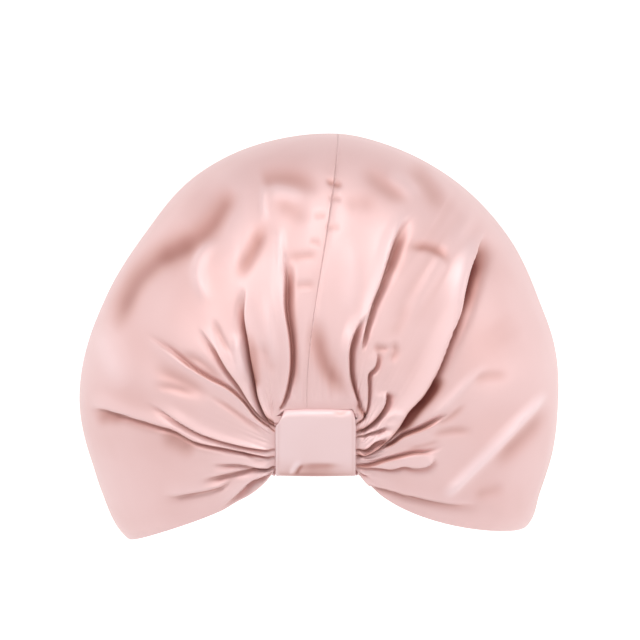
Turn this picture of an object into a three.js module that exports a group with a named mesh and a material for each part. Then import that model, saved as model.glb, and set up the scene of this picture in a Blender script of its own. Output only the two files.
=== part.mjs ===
// A satin sleep bonnet, standing as a head holds it: two crown panels gathered into a knot band at the
// forehead. Millimetres, +Z up, the front looks along -Y. The origin is the middle of the head opening,
// level with the lowest point of the hem.
import * as THREE from 'three';

// The whole bonnet. Front, back and sides stand out most at the widest level.
const crownWidth = 230;
const crownHeight = 193;
const frontDepth = 104;
const backDepth = 118;
const widestLevel = 70;
const roundness = 2.3;

// The cloth, and the gap between pieces that touch.
const clothThickness = 1.5;
const gap = 0.3;

// The knot band: a closed loop round the gathered cloth, narrower where it turns in at the top.
const bandWidth = 36.4;
const bandTopWidth = 32.5;
const bandHeight = 31.6;
const bandBottom = 37.8;
const bandThickness = 2;
const bandPuff = 1;
const bandCentre = -1.1;
const bandShoulder = 9;
const gatherThickness = 3;

// The cloth sinks where the band pulls it in, over this depth and this reach round the band.
const pinchDepth = 5;
const pinchReach = 15;

// The hem at the nape. Lines of the back come down to it upright, 270 degrees, at the seam, and turn level,
// 360 degrees, towards the hem of the sides, the later the higher this power.
const napeHeight = 18.5;
const napeWidth = 70;
const upright = 270;
const level = 360;
const napeTurning = 3;

// The greatest height and width of a fold, which the tables below take shares of. Folds spread to this
// many times their width towards the open cloth.
const foldHeight = 7;
const foldWidth = 12;
const foldSpread = 2;

// Folds fade in over this share of their length. They sink to nothing over this distance from the band,
// where it presses the cloth flat, and from this share of the way to the outline.
const foldFade = 0.3;
const pressedReach = 5;
const rimFade = 0.9;

// The centre seam meets the band beside its middle, and lies in a shallow groove.
const seamOffset = -3.9;
const seamGroove = 0.7;
const seamGrooveWidth = 2.5;

// The lines of the fan: how stiffly they keep their direction at the band, at the outline and at the nape,
// and the share of the fan from which they turn to follow the hem.
const bandStiffness = 0.3;
const rimStiffness = 0.38;
const napeStiffness = 0.35;
const hemFollows = 0.8;

// How finely each panel is divided: across the fan of gathers, along it at the front, crowded towards the
// band, then at the back and inside the band. The corner of the band is at this share of the fan.
const columns = 45;
const cornerShare = 0.2;
const frontSteps = 16;
const frontCrowding = 1.25;
const backSteps = 9;
const innerSteps = 4;
const foldSamples = 24;

// How finely the band is divided: across it, along each of its runs and round each of its turns.
const bandCellsAcross = 6;
const bandRun = 9;
const bandTurnCells = 5;

// The distance over which a slope of the round form is taken.
const slopeStep = 0.05;

const degrees = Math.PI / 180;
const halfWidth = crownWidth / 2;
const halfHeight = crownHeight / 2;
const bandTurn = gatherThickness / 2 + gap + bandThickness;
const spineTop = bandBottom + bandHeight - bandTurn;
const spineBottom = bandBottom + bandTurn;
const lipTop = bandBottom + bandHeight + gap;
const slitHalfWidth = bandWidth / 2 + 2 * gap;
const slitEnd = spineTop + 2 * gap;
const cornerColumn = cornerShare * columns;

function table(names, rows) {
  return rows.map((row) => Object.fromEntries(names.map((name, i) => [name, row[i]])));
}

// The outline from the front, clockwise from the left corner of the hem: across is a share of half the
// width, up a share of the height. The last three rows close the round form below the hem.
const outline = table(['across', 'up', 'mark'], [
  [-0.797, 0, 'left corner'],
  [-0.902, 0.114],
  [-0.943, 0.189],
  [-0.993, 0.326],
  [-0.956, 0.487],
  [-0.881, 0.599],
  [-0.726, 0.749],
  [-0.505, 0.898],
  [-0.259, 0.972],
  [0.083, 1, 'seam top'],
  [0.292, 0.972],
  [0.538, 0.898],
  [0.789, 0.749],
  [0.914, 0.599],
  [0.981, 0.487],
  [1, 0.326],
  [0.968, 0.189],
  [0.927, 0.114],
  [0.872, 0.03, 'right corner'],
  [0.45, -0.085],
  [0, -0.13],
  [-0.45, -0.085],
]);

// The fan of cloth from the band to the outline, from the seam, share 0, to the hem, share 1: how far along
// the band's edge it starts, the direction in which it leaves, in degrees, and how far round the outline it
// ends. Directions turn from level towards the other side, over upright at 90.
const fanNames = ['share', 'enters', 'leave', 'ends'];
const sides = {
  left: {
    sign: -1,
    corner: 'left corner',
    hemArrive: 209,
    fan: table(fanNames, [
      [0, 0, 92, 0],
      [0.2, 0.25, 98, 0.11],
      [0.35, 0.42, 118, 0.2],
      [0.5, 0.48, 138, 0.36],
      [0.62, 0.53, 148, 0.53],
      [0.75, 0.7, 166, 0.67],
      [0.87, 0.84, 180, 0.815],
      [1, 1, 235, 1],
    ]),
  },
  right: {
    sign: 1,
    corner: 'right corner',
    hemArrive: 188,
    fan: table(fanNames, [
      [0, 0, 88, 0],
      [0.2, 0.25, 82, 0.2],
      [0.35, 0.44, 110, 0.235],
      [0.5, 0.6, 132, 0.28],
      [0.62, 0.74, 146, 0.345],
      [0.8, 0.85, 172, 0.66],
      [0.9, 0.93, 190, 0.84],
      [1, 1, 235, 1],
    ]),
  },
};
const cornerEnters = 0.25;

// Folds that run into the band. Each starts at one place, passes through another and enters the band at a
// share of its edge. The cloth lies low on the seam side of the line, low 1, or on the hem side, low -1.
const gatherNames = ['across', 'up', 'midAcross', 'midUp', 'enters', 'low',
  'valley', 'valleyWidth', 'sharp', 'ridge', 'ridgeWidth'];
const leftGathers = table(gatherNames, [
  [-0.717, 0.528, -0.445, 0.43, 0.5, 1, 0.4, 0.45, 0.15, 0.12, 0.5],
  [-0.47, 0.544, -0.333, 0.424, 0.46, -1, 0.5, 0.3, 0.15, 0.1, 0.5],
  [-0.278, 0.652, -0.254, 0.472, 0.42, 1, 0.8, 0.3, 0.2, 0.1, 0.6],
  [-0.128, 0.743, -0.107, 0.536, 0.22, -1, 0.65, 0.3, 0.25, 0.1, 0.5],
  [-0.702, 0.376, -0.45, 0.309, 0.7, -1, 0.35, 0.25, 0.15, 0.15, 0.5],
  [-0.941, 0.336, -0.571, 0.303, 0.79, -1, 0.5, 0.4, 0.25, 0.1, 0.5],
  [-0.442, 0.229, -0.318, 0.232, 0.885, -1, 0.3, 0.2, 0.15, 0.1, 0.3],
  [-0.471, 0.19, -0.31, 0.212, 0.89, -1, 0.5, 0.35, 0.2, 0.1, 0.3],
  [-0.383, 0.139, -0.279, 0.183, 0.93, 1, 0.6, 0.3, 0.2, 0.1, 0.3],
]);
const rightGathers = table(gatherNames, [
  [0.198, 0.592, 0.115, 0.483, 0.26, -1, 0.65, 0.2, 0.2, 0.2, 0.6],
  [0.362, 0.811, 0.215, 0.6, 0.32, -1, 0.6, 0.45, 0.3, 0.2, 0.8],
  [0.234, 0.505, 0.194, 0.407, 0.44, -1, 0.5, 0.2, 0.15, 0.1, 0.4],
  [0.274, 0.387, 0.23, 0.352, 0.49, -1, 0.6, 0.25, 0.15, 0.1, 0.4],
  [0.298, 0.323, 0.226, 0.312, 0.55, -1, 0.5, 0.2, 0.15, 0.1, 0.3],
  [0.266, 0.302, 0.218, 0.286, 0.675, -1, 0.5, 0.2, 0.15, 0.1, 0.3],
  [0.668, 0.776, 0.47, 0.47, 0.74, -1, 0.75, 0.5, 0.35, 0.25, 1],
  [0.526, 0.345, 0.374, 0.301, 0.76, 1, 0.5, 0.25, 0.15, 0.15, 0.4],
  [0.506, 0.262, 0.342, 0.244, 0.85, -1, 0.45, 0.3, 0.2, 0.15, 0.4],
  [0.474, 0.246, 0.346, 0.224, 0.9, -1, 0.35, 0.25, 0.15, 0.1, 0.3],
  [0.644, 0.119, 0.375, 0.147, 0.97, -1, 0.5, 0.4, 0.25, 0.15, 0.5],
]);

// Soft dents and ridges that end in the open cloth: a place, a place passed through and an end. A ridge has
// a depth below zero.
const dentNames = ['across', 'up', 'midAcross', 'midUp', 'endAcross', 'endUp', 'depth', 'width'];
const dents = table(dentNames, [
  [-0.303, 0.883, -0.463, 0.777, -0.58, 0.7, 0.45, 0.7],
  [-0.5, 0.77, -0.681, 0.682, -0.854, 0.495, 0.5, 1.2],
  [-0.214, 0.905, -0.09, 0.893, 0.028, 0.875, 0.35, 0.6],
  [-0.22, 0.817, -0.248, 0.757, -0.319, 0.668, 0.5, 0.6],
  [-0.623, 0.147, -0.451, 0.161, -0.35, 0.187, 0.35, 0.35],
  [-0.69, 0.443, -0.53, 0.421, -0.4, 0.375, 0.3, 0.6],
  [-0.66, 0.305, -0.559, 0.272, -0.48, 0.25, 0.3, 0.6],
  [-0.815, 0.193, -0.815, 0.26, -0.83, 0.331, 0.25, 0.8],
  [0.31, 0.733, 0.449, 0.745, 0.545, 0.69, 0.4, 0.5],
  [0.142, 0.924, 0.25, 0.891, 0.405, 0.838, 0.3, 0.6],
  [0.37, 0.92, 0.455, 0.869, 0.519, 0.831, 0.35, 0.8],
  [0.05, 0.82, 0.148, 0.836, 0.225, 0.85, 0.25, 0.6],
  [-0.024, 0.513, 0.047, 0.459, 0.107, 0.365, 0.4, 0.7],
  [0.644, 0.466, 0.546, 0.402, 0.453, 0.342, -0.2, 0.35],
  [0.615, 0.433, 0.689, 0.433, 0.76, 0.431, 0.25, 0.5],
  [0.907, 0.368, 0.765, 0.274, 0.508, 0.144, -0.4, 0.7],
]);

// Numbers and small vectors.
function mix(a, b, share) {
  return a + (b - a) * share;
}

function smoothStep(from, to, value) {
  const share = Math.min(1, Math.max(0, (value - from) / (to - from)));
  return share * share * (3 - 2 * share);
}

function bell(value) {
  return Math.exp(-value * value);
}

function interpolate(rows, name, share) {
  const next = Math.max(1, rows.findIndex((row) => row.share >= share));
  const low = rows[next - 1];
  const high = rows[next];
  return mix(low[name], high[name], (share - low.share) / (high.share - low.share));
}

function place(row) {
  return { x: row.across * halfWidth, z: row.up * crownHeight };
}

function marked(mark) {
  return place(outline.find((row) => row.mark === mark));
}

// The round form: how far a place lies from the middle of the front view, as a share of the way to the
// outline.
function polar(x, z) {
  const across = x / halfWidth;
  const up = (z - widestLevel) / halfHeight;
  return { angle: Math.atan2(up, across), reach: Math.hypot(across, up) };
}

const rim = outline
  .map((row) => polar(place(row).x, place(row).z))
  .sort((a, b) => a.angle - b.angle);

function rimPoint(index) {
  const turns = Math.floor(index / rim.length);
  const point = rim[index - turns * rim.length];
  return { angle: point.angle + turns * 2 * Math.PI, reach: point.reach };
}

function rimSlope(index) {
  const before = rimPoint(index - 1);
  const after = rimPoint(index + 1);
  return (after.reach - before.reach) / (after.angle - before.angle);
}

function rimReach(angle) {
  const turned = Math.atan2(Math.sin(angle), Math.cos(angle));
  const index = rim.findLastIndex((point) => point.angle <= turned);
  const from = rimPoint(index);
  const to = rimPoint(index + 1);
  const span = to.angle - from.angle;
  const t = (turned - from.angle) / span;
  const between = mix(from.reach, to.reach, t * t * (3 - 2 * t));
  const leave = rimSlope(index) * span * t * (1 - t) * (1 - t);
  const arrive = rimSlope(index + 1) * span * t * t * (1 - t);
  return between + leave - arrive;
}

function rimShare(x, z) {
  const { angle, reach } = polar(x, z);
  return reach / rimReach(angle);
}

// The base surface, and its outward direction, at the front or the back of a place in the front view.
function basePoint(x, z, back) {
  const share = Math.min(1, rimShare(x, z));
  const stand = (1 - share ** roundness) ** (1 / roundness);
  const y = back ? backDepth * stand : pinch(x, z) - frontDepth * stand;
  return new THREE.Vector3(x, y, z);
}

function baseNormal(x, z, back) {
  const field = (a, b) => rimShare(a, b) ** roundness;
  const share = Math.min(1, rimShare(x, z));
  const stand = (1 - share ** roundness) ** (1 / roundness);
  const depth = back ? backDepth : -frontDepth;
  return new THREE.Vector3(
    (field(x + slopeStep, z) - field(x - slopeStep, z)) / (2 * slopeStep),
    (roundness * stand ** (roundness - 1)) / depth,
    (field(x, z + slopeStep) - field(x, z - slopeStep)) / (2 * slopeStep),
  ).normalize();
}

function bandDistance(x, z) {
  const across = Math.max(0, Math.abs(x - bandCentre) - slitHalfWidth);
  const up = Math.max(0, z - lipTop, bandBottom - z);
  return Math.hypot(across, up);
}

function pinch(x, z) {
  return pinchDepth * bell(bandDistance(x, z) / pinchReach);
}

// A place on the band's edge: along the lip over its top from the seam, then down its side to the hem.
function bandEdge(side, enters) {
  const edge = bandCentre + side.sign * slitHalfWidth;
  if (enters <= cornerEnters) {
    const x = mix(bandCentre + seamOffset, edge, enters / cornerEnters);
    const past = smoothStep(bandTopWidth / 2 + gap, slitHalfWidth, Math.abs(x - bandCentre));
    return { x, z: mix(lipTop, slitEnd, past) };
  }
  return { x: edge, z: mix(slitEnd, spineBottom, (enters - cornerEnters) / (1 - cornerEnters)) };
}

// Where a line of the fan starts, and where it meets the outline.
function fanStart(side, share) {
  return bandEdge(side, interpolate(side.fan, 'enters', share));
}

function fanEnd(side, share) {
  const top = marked('seam top');
  const corner = marked(side.corner);
  const from = polar(top.x, top.z).angle;
  const to = polar(corner.x, corner.z).angle;
  const turned = side.sign < 0 ? to + 2 * Math.PI : to;
  const angle = mix(from, turned, interpolate(side.fan, 'ends', share));
  const reach = rimReach(angle);
  return {
    x: Math.cos(angle) * reach * halfWidth,
    z: widestLevel + Math.sin(angle) * reach * halfHeight,
  };
}

function mirrored(side, angle) {
  return side.sign < 0 ? angle * degrees : Math.PI - angle * degrees;
}

function shifted(point, angle, length) {
  return new THREE.Vector2(point.x + Math.cos(angle) * length, point.z + Math.sin(angle) * length);
}

// One line of the fan, in the front view: at the front from the band to the outline, at the back from there
// to the nape.
function frontLine(side, share) {
  const start = fanStart(side, share);
  const end = fanEnd(side, share);
  const length = Math.hypot(end.x - start.x, end.z - start.z);
  const leave = mirrored(side, interpolate(side.fan, 'leave', share));
  const arrive = lineArrives(side, share);
  return new THREE.CubicBezierCurve(
    new THREE.Vector2(start.x, start.z),
    shifted(start, leave, bandStiffness * length),
    shifted(end, arrive, -rimStiffness * length),
    new THREE.Vector2(end.x, end.z),
  );
}

function lineArrives(side, share) {
  const end = fanEnd(side, share);
  const outward = Math.atan2(end.z - widestLevel, end.x);
  const hem = mirrored(side, side.hemArrive);
  const turn = Math.atan2(Math.sin(hem - outward), Math.cos(hem - outward));
  return outward + turn * smoothStep(hemFollows, 1, share);
}

function backLine(side, share) {
  const start = fanEnd(side, share);
  const end = { x: (side.sign * napeWidth * share) / 2, z: napeHeight };
  const length = Math.hypot(end.x - start.x, end.z - start.z);
  const arrive = mirrored(side, mix(upright, level, share ** napeTurning));
  return new THREE.CubicBezierCurve(
    new THREE.Vector2(start.x, start.z),
    shifted(start, lineArrives(side, share), -rimStiffness * length),
    shifted(end, arrive, -napeStiffness * length),
    new THREE.Vector2(end.x, end.z),
  );
}

// Folds. Each is a quadratic curve through its middle place, kept as points with the way along it.
function foldPath(start, middle, end) {
  const bend = new THREE.Vector2(
    2 * middle.x - (start.x + end.x) / 2,
    2 * middle.z - (start.z + end.z) / 2,
  );
  const curve = new THREE.QuadraticBezierCurve(
    new THREE.Vector2(start.x, start.z),
    bend,
    new THREE.Vector2(end.x, end.z),
  );
  return curve.getPoints(foldSamples);
}

function nearest(path, x, z) {
  let best = { distance: Infinity, along: 0, seamSide: 0 };
  for (let i = 0; i < foldSamples; i += 1) {
    const a = path[i];
    const b = path[i + 1];
    const dx = b.x - a.x;
    const dz = b.y - a.y;
    const t = Math.min(1, Math.max(0, ((x - a.x) * dx + (z - a.y) * dz) / (dx * dx + dz * dz)));
    const awayX = x - a.x - t * dx;
    const awayZ = z - a.y - t * dz;
    const distance = Math.hypot(awayX, awayZ);
    if (distance < best.distance) {
      const seamSide = Math.sign(dx * awayZ - dz * awayX);
      best = { distance, along: (i + t) / foldSamples, seamSide };
    }
  }
  return best;
}

function creaseHeight(fold, into, along) {
  const width = foldWidth * mix(foldSpread, 1, along);
  if (into < 0) {
    return fold.ridge * foldHeight * bell(into / (fold.ridgeWidth * width));
  }
  const sharp = fold.sharp * width;
  const past = Math.max(0, into - sharp);
  const sunk = -fold.valley * foldHeight * bell(past / (fold.valleyWidth * width));
  return mix(fold.ridge * foldHeight, sunk, smoothStep(0, sharp, into));
}

function gatherFolds(side, rows) {
  return rows.map((row) => {
    const middle = place({ across: row.midAcross, up: row.midUp });
    const path = foldPath(place(row), middle, bandEdge(side, row.enters));
    return (x, z) => {
      const near = nearest(path, x, z);
      const into = near.distance * near.seamSide * row.low * -side.sign;
      return creaseHeight(row, into, near.along) * smoothStep(0, foldFade, near.along);
    };
  });
}

function softDents(rows) {
  return rows.map((row) => {
    const middle = place({ across: row.midAcross, up: row.midUp });
    const end = place({ across: row.endAcross, up: row.endUp });
    const path = foldPath(place(row), middle, end);
    return (x, z) => {
      const near = nearest(path, x, z);
      const ends = smoothStep(0, foldFade, near.along) * smoothStep(1, 1 - foldFade, near.along);
      return -row.depth * foldHeight * bell(near.distance / (row.width * foldWidth)) * ends;
    };
  });
}

const folds = [
  ...gatherFolds(sides.left, leftGathers),
  ...gatherFolds(sides.right, rightGathers),
  ...softDents(dents),
];
const seamPath = frontLine(sides.left, 0).getPoints(foldSamples);

function relief(x, z) {
  const pressed = smoothStep(0, pressedReach, bandDistance(x, z));
  const open = pressed * smoothStep(1, rimFade, rimShare(x, z));
  const height = folds.reduce((sum, fold) => sum + fold(x, z), 0);
  const groove = seamGroove * bell(nearest(seamPath, x, z).distance / seamGrooveWidth);
  return open * (height - groove);
}

// One panel. Its grid runs from the seam to the hem and, the other way, from inside the band over the front
// and the back to the nape. Above the band the two panels leave a slit, so the first columns have no inner
// part.
function panelPlace(side, column, step) {
  const share = column / columns;
  if (step < innerSteps) {
    const start = fanStart(side, share);
    const seam = bandCentre + seamOffset + (side.sign * gap) / 2;
    const enters = interpolate(side.fan, 'enters', share);
    const z = mix(spineTop, spineBottom, (enters - cornerEnters) / (1 - cornerEnters));
    return { x: mix(seam, start.x, step / innerSteps), z, back: false };
  }
  const along = step - innerSteps;
  const front = along <= frontSteps;
  const t = front
    ? Math.sin((Math.PI / 2) * (along / frontSteps) ** frontCrowding)
    : 1 - Math.cos((Math.PI / 2) * ((along - frontSteps) / backSteps));
  const point = (front ? frontLine(side, share) : backLine(side, share)).getPoint(t);
  const seamShift = column === 0 ? (side.sign * gap) / 2 : 0;
  return { x: point.x + seamShift, z: point.y, back: !front };
}

function panelWalls(side, column, step) {
  const { x, z, back } = panelPlace(side, column, step);
  const normal = baseNormal(x, z, back);
  const outer = basePoint(x, z, back);
  if (!back) {
    outer.addScaledVector(normal, relief(x, z));
  }
  const near = back ? 0 : 1 - smoothStep(0, pressedReach, bandDistance(x, z));
  const inner = outer.clone().addScaledVector(normal, -mix(clothThickness, gatherThickness, near));
  return { outer, inner };
}

function panelGeometry(side) {
  const steps = innerSteps + frontSteps + backSteps;
  const walls = [];
  for (let step = 0; step <= steps; step += 1) {
    for (let column = 0; column <= columns; column += 1) {
      walls.push(panelWalls(side, column, step));
    }
  }
  const present = (column, step) => column >= 0 && column < columns && step >= 0 && step < steps
    && (step >= innerSteps || column >= cornerColumn);
  return closedShell(walls, columns, steps, present);
}

// A closed wall from a grid of outer and inner points: two skins, and an edge wherever a cell has no
// neighbour. Each cell is split along its shorter diagonal, so that the split follows the folds.
function closedShell(walls, cellsAcross, cellsAlong, present) {
  const count = walls.length;
  const outerIndex = (column, step) => step * (cellsAcross + 1) + column;
  const faces = [];
  const quad = (a, b, c, d) => faces.push(a, b, c, a, c, d);
  const split = (a, b, c, d) => {
    const outer = [a, b, c, d].map((index) => walls[index].outer);
    const shorter = outer[0].distanceTo(outer[2]) <= outer[1].distanceTo(outer[3]);
    const corners = shorter ? [a, b, c, d] : [b, c, d, a];
    const [e, f, g, h] = corners.map((index) => index + count);
    quad(...corners);
    quad(h, g, f, e);
  };
  for (let step = 0; step < cellsAlong; step += 1) {
    for (let column = 0; column < cellsAcross; column += 1) {
      if (present(column, step)) {
        const corners = [
          outerIndex(column, step),
          outerIndex(column + 1, step),
          outerIndex(column + 1, step + 1),
          outerIndex(column, step + 1),
        ];
        const neighbours = [
          present(column, step - 1),
          present(column + 1, step),
          present(column, step + 1),
          present(column - 1, step),
        ];
        split(...corners);
        neighbours.forEach((neighbour, i) => {
          if (!neighbour) {
            const from = corners[i];
            const to = corners[(i + 1) % 4];
            quad(from, from + count, to + count, to);
          }
        });
      }
    }
  }
  const points = [...walls.map((wall) => wall.outer), ...walls.map((wall) => wall.inner)];
  return solidFrom(points, faces);
}

// Keeps only the points in use, and turns the faces outward.
function solidFrom(points, faces) {
  const used = [...new Set(faces)];
  const renamed = new Map(used.map((old, i) => [old, i]));
  const geometry = new THREE.BufferGeometry().setFromPoints(used.map((old) => points[old]));
  const corners = faces.map((old) => renamed.get(old));
  let volume = 0;
  for (let i = 0; i < faces.length; i += 3) {
    const [a, b, c] = faces.slice(i, i + 3).map((old) => points[old]);
    volume += a.dot(b.clone().cross(c));
  }
  geometry.setIndex(volume < 0 ? corners.reverse() : corners);
  geometry.computeVertexNormals();
  return geometry;
}

// The knot band: round the gathered cloth, from the front over the top slit, down behind and under the hem.
function bandStation(index) {
  const stations = 2 * (bandRun + bandTurnCells);
  const at = index % stations;
  if (at <= bandRun) {
    return { z: mix(spineBottom, spineTop, at / bandRun), turn: 0 };
  }
  if (at <= bandRun + bandTurnCells) {
    return { z: spineTop, turn: (Math.PI * (at - bandRun)) / bandTurnCells };
  }
  if (at <= 2 * bandRun + bandTurnCells) {
    return { z: mix(spineTop, spineBottom, (at - bandRun - bandTurnCells) / bandRun), turn: Math.PI };
  }
  return { z: spineBottom, turn: Math.PI * (1 + (at - 2 * bandRun - bandTurnCells) / bandTurnCells) };
}

function bandWalls(index, across) {
  const { z, turn } = bandStation(index);
  const rise = z + bandTurn * Math.sin(turn);
  const bandEnd = bandBottom + bandHeight;
  const narrowing = smoothStep(bandEnd - bandShoulder, bandEnd, rise);
  const width = mix(bandWidth, bandTopWidth, narrowing);
  const x = bandCentre + (across * width) / 2;
  const normal = baseNormal(x, z, false);
  const along = new THREE.Vector3(1, 0, 0).cross(normal).normalize();
  const upward = along.z < 0 ? along.negate() : along;
  const middle = basePoint(x, z, false).addScaledVector(normal, -gatherThickness / 2);
  const outward = normal.clone().multiplyScalar(Math.cos(turn)).addScaledVector(upward, Math.sin(turn));
  const puff = bandPuff * (1 - across * across) * Math.max(0, Math.cos(turn));
  const inner = middle.clone().addScaledVector(outward, bandTurn - bandThickness);
  const outer = middle.clone().addScaledVector(outward, bandTurn + puff);
  return { outer, inner };
}

function bandGeometry() {
  const stations = 2 * (bandRun + bandTurnCells);
  const perStation = bandCellsAcross + 1;
  const points = [];
  for (let index = 0; index < stations; index += 1) {
    const walls = [];
    for (let i = 0; i < perStation; i += 1) {
      walls.push(bandWalls(index, (2 * i) / bandCellsAcross - 1));
    }
    const reversed = walls.map((wall) => wall.inner).reverse();
    points.push(...walls.map((wall) => wall.outer), ...reversed);
  }
  const faces = [];
  const around = 2 * perStation;
  for (let index = 0; index < stations; index += 1) {
    const here = index * around;
    const next = ((index + 1) % stations) * around;
    for (let i = 0; i < around; i += 1) {
      const j = (i + 1) % around;
      faces.push(here + i, here + j, next + j, here + i, next + j, next + i);
    }
  }
  return solidFrom(points, faces);
}

// The satin, a little lighter on the band.
const crownSatin = new THREE.MeshStandardMaterial({
  name: 'crown_satin',
  color: 0xeccccb,
  roughness: 0.45,
  metalness: 0,
});
const bandSatin = new THREE.MeshStandardMaterial({
  name: 'band_satin',
  color: 0xecd1d2,
  roughness: 0.4,
  metalness: 0,
});

function part(name, geometry, material) {
  const mesh = new THREE.Mesh(geometry, material);
  mesh.name = name;
  return mesh;
}

const bonnet = new THREE.Group();
bonnet.add(
  part('crown_left', panelGeometry(sides.left), crownSatin),
  part('crown_right', panelGeometry(sides.right), crownSatin),
  part('knot_band', bandGeometry(), bandSatin),
);

export default bonnet;
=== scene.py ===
import math

import bmesh
import bpy
import numpy as np
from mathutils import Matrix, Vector


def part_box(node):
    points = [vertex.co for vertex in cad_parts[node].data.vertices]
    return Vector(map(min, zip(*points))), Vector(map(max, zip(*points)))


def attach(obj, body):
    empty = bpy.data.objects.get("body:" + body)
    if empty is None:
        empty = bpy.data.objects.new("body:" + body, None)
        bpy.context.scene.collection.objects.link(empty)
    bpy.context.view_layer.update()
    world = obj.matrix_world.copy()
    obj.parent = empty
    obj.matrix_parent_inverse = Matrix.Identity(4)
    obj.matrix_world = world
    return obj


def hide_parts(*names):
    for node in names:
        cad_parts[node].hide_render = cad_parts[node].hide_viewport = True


# A satin sleep bonnet, standing as a head holds it: two crown panels gathered into a knot band at the
# forehead. Metres, +Z up, the front looks along -Y. Photo places are pixels of the 640 by 640 photograph.
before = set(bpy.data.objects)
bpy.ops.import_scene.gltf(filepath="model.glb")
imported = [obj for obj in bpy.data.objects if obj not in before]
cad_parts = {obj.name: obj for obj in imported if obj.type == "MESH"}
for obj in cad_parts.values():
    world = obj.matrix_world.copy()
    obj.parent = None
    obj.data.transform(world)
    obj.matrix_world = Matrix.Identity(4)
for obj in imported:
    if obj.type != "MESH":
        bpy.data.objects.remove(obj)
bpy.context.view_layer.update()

MM = 0.001

# The camera: its distance, its height over the level, and the photo place where the target shows.
CAMERA_DISTANCE = 2.0
CAMERA_ELEVATION = math.radians(4)
TARGET = (0.0, 0.0, 96 * MM)
TARGET_PLACE = (318, 336)
PHOTO_SIZE = 640
PIXEL = 0.48 * MM
SENSOR = 36.0


def whole_mm(length):
    return round(length / MM) * MM


# The whole bonnet, from the frame. The sides stand out most at the widest level.
left_low, left_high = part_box("crown_left")
right_low, right_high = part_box("crown_right")
HALF_WIDTH = whole_mm((right_high.x - left_low.x) / 2)
HEIGHT = whole_mm(left_high.z)
HALF_HEIGHT = HEIGHT / 2
FRONT_DEPTH = whole_mm(-right_low.y)
BACK_DEPTH = whole_mm(left_high.y)
WIDEST_LEVEL = 70 * MM
ROUNDNESS = 2.3

# The cloth: its thickness, and the small roll at a folded edge.
CLOTH = 0.6 * MM
EDGE_ROLL = 0.8 * MM
HEM_COLUMNS = 8

# The lip over the band: its roll, the share that drops, its run inside, and the columns it fades over.
LIP_ROLL = 2.4 * MM
LIP_DROP = 0.5
LIP_TAIL = 3 * MM
LIP_FADE = 12

# The knot band, and the gathered cloth inside it.
BAND_WIDTH = 36.4 * MM
BAND_TOP_WIDTH = 32.5 * MM
BAND_HEIGHT = 31.6 * MM
BAND_BOTTOM = 37.8 * MM
BAND_THICKNESS = 2 * MM
BAND_CLOTH = 1.0 * MM
BAND_PUFF = 1 * MM
BAND_CENTRE = -1.1 * MM
BAND_SHOULDER = 9 * MM
TOP_LEAN = 0.4
GATHER = 3 * MM
GAP = 0.3 * MM

# The cloth round the band: it sinks in towards the band, swells a little, and its folds are lower there.
# The round corners of the band start this far from its middle. Inside the band the swelling fades fast.
PINCH_DEPTH = 5 * MM
PINCH_REACH = 15 * MM
BULGE = 1.3 * MM
BULGE_REACH = 12 * MM
BESIDE_RISE = 4.5 * MM
BESIDE_SHARE = 0.3
CORNER_STARTS_LEFT = 13 * MM
CORNER_STARTS_RIGHT = 16.4 * MM
INNER_FADE = 8

# The fine pleats that run along the fan, and the loose folds of the front and the back. Where they start
# and end is a pair of shares of the way along a line of the fan.
PLEAT = 0.5 * MM
PLEAT_WAVES = (7, 11, 16, 23, 31)
PLEAT_STARTS = (0.01, 0.06)
PLEAT_DECAY = 8
LOOSE_FOLD = 0.45 * MM
LOOSE_WAVES = (3, 5, 8)
LOOSE_STARTS = (0.3, 0.8)
LOOSE_ENDS = (1, 0.9)
BACK_FOLD = 2.2 * MM
BACK_WAVES = (2, 3, 5, 8)
BACK_STARTS = (0, 0.2)
BACK_ENDS = (1, 0.7)
NAPE_PLEAT = 0.9 * MM
NAPE_WAVES = (17, 25, 34)
NAPE_STARTS = (0.45, 0.95)

# A wave: its power, level and swing, what chance changes, and how near the edges of the fan it ends.
SOFT = 2
CRISP = 1.4
WAVE_LEVEL = 1.3
WAVE_SWING = 2
WAVE_DRIFT = 0.9
WAVE_SMALLEST = 0.5
WAVE_EDGE = 0.03

# What each kind of wave adds to the seed of its side.
PLEAT_SEED = 0
BACK_SEED = 1
NAPE_SEED = 2
LOOSE_SEED = 3

# How much of a fold's height or depth counts as full painted light or full painted shade in the satin's
# colour.
FULL_TONE = 7 * MM

# The hem at the nape. The lines of the fan reach it downwards at the seam and level at the hem.
NAPE_HEIGHT = 18.5 * MM
NAPE_WIDTH = 70 * MM
NAPE_TURNING = 3
DOWNWARDS = 270
QUARTER = 90

# The centre seam, its groove, and how deep the seam allowance lies at each step.
SEAM_OFFSET = -3.9 * MM
SEAM_GAP = 0.04 * MM
SEAM_GROOVE = 0.5 * MM
SEAM_GROOVE_WIDTH = 1.8 * MM
SEAM_REACH = 5
BACK_GROOVE_STARTS = (0, 0.1)
ALLOWANCE_DEPTHS = (0.3 * MM, 1 * MM, 3 * MM, 6 * MM)

# The lines of the fan.
BAND_STIFFNESS = 0.3
RIM_STIFFNESS = 0.38
NAPE_STIFFNESS = 0.35
HEM_FOLLOWS = 0.8
CORNER_ENTERS = 0.25
CORNER_SHARE = 0.2
RIM_FADE = 0.94
SHIFT_STARTS = (0.5 * MM, 3 * MM)

# How finely each panel is divided.
COLUMNS = 240
FRONT_STEPS = 130
FRONT_CROWDING = 1.25
BACK_STEPS = 52
INNER_STEPS = 10
LIP_STEPS = 6
ROLL_STEPS = 6
SEAM_STEPS = 60
SIGHT_ROUNDS = 60
LINE_SPACING = 1.5 * MM
NORMAL_STEP = 0.05 * MM
MERGE = 0.001 * MM
TINY = 1e-9
CORNER = round(CORNER_SHARE * COLUMNS)

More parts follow.
